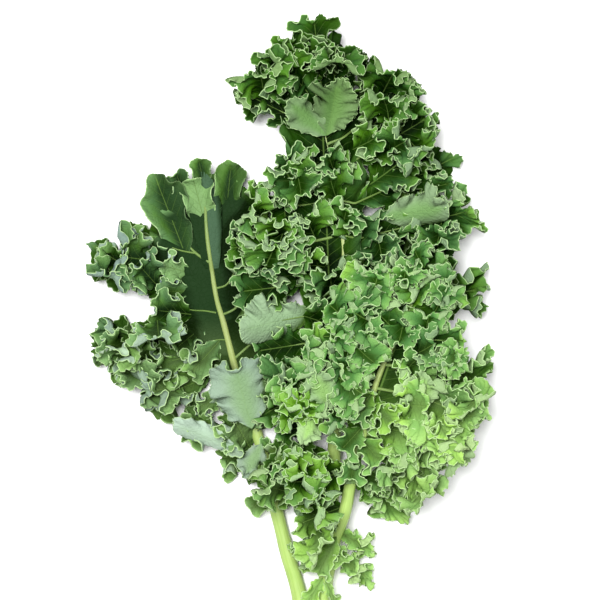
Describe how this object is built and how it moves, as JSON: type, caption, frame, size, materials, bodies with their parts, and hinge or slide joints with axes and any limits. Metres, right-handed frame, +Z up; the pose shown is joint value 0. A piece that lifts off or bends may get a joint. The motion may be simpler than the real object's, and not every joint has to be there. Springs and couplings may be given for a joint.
{
  "type": "bunch of curly kale leaves",
  "caption": "Bunch of curly kale lying flat: frilled leaves on pale stalks, laid over one another, with lobes whose edges fold into tight waves.",
  "frame": {"origin": "centre of the bunch's bounding box, on the surface that it lies on", "axes": "+Y from the cut stalks toward the leaf tips, +X to the right in the picture, +Z up from the surface"},
  "size_m": [0.2098, 0.3204, 0.0484],
  "materials": {
    "leaf_left": "waxy dark green leaf with a pale midrib",
    "leaf_tall": "waxy mid green leaf with pale edges",
    "leaf_front": "waxy bright green leaf with pale edges"
  },
  "bodies": {
    "root": {"leaf_left": "leaf_left", "leaf_tall": "leaf_tall", "leaf_front": "leaf_front"}
  },
  "joints": []
}
